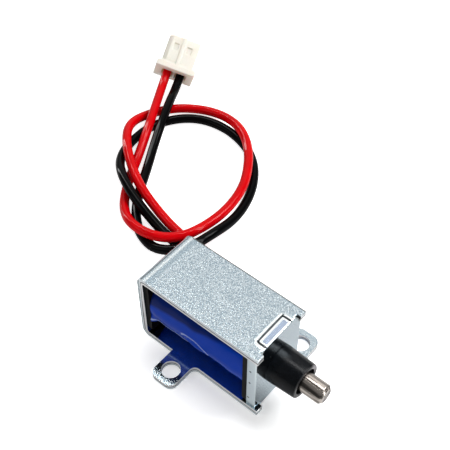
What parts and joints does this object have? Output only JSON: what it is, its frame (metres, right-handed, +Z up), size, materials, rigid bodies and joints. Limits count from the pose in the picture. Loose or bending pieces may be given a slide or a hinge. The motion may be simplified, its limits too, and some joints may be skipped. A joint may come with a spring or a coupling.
{
  "type": "solenoid lock",
  "caption": "Open-frame push-pull solenoid lock with a spring-loaded round bolt in a black nose sleeve, two mounting ears, a taped coil, and red and black leads to a small plug.",
  "frame": {"origin": "midway between the two mounting holes, on the underside of the base", "axes": "+X along the bolt towards its tip, +Y towards the side where the leads leave, +Z up from the base"},
  "size_m": [0.0677, 0.0559, 0.0132],
  "materials": {
    "zinc_steel": "zinc plated, fine grain",
    "black_nylon": "moulded",
    "copper_wire": "enamelled wire",
    "clear_tape": "thin film",
    "blue_tape": "glossy film tape",
    "brass_tube": "drawn",
    "soft_iron": "turned, nickel plated",
    "nickel": "turned, nickel plated",
    "spring_steel": "drawn wire",
    "black_sleeve": "satin",
    "rubber": "matt",
    "solder": "tinned",
    "red_insulation": "glossy",
    "black_insulation": "glossy",
    "ivory_nylon": "moulded",
    "contact_brass": "stamped, tinned"
  },
  "bodies": {
    "frame": {"c_frame": "zinc_steel", "front_plate": "zinc_steel", "bobbin": "black_nylon", "coil_winding": "copper_wire", "winding_insulation": "clear_tape", "coil_tape": "blue_tape", "guide_tube": "brass_tube", "fixed_core": "soft_iron", "core_shim": "brass_tube", "return_spring": "spring_steel", "nose_sleeve": "black_sleeve", "bumper_washer": "rubber", "solder_joints": "solder", "joint_sleeves": "clear_tape", "lead_red": "red_insulation", "lead_black": "black_insulation", "lead_strands": "solder", "plug_housing": "ivory_nylon", "plug_contacts": "contact_brass"},
    "bolt": {"plunger": "soft_iron", "lock_bolt": "nickel"}
  },
  "joints": [
    {"name": "bolt_slide", "type": "slide", "parent": "frame", "child": "bolt", "axis": [-1, 0, 0], "range_m": [0, 0.003], "stiffness_N_per_m": 80, "springref_m": -0.003, "deforming": ["return_spring"]}
  ]
}
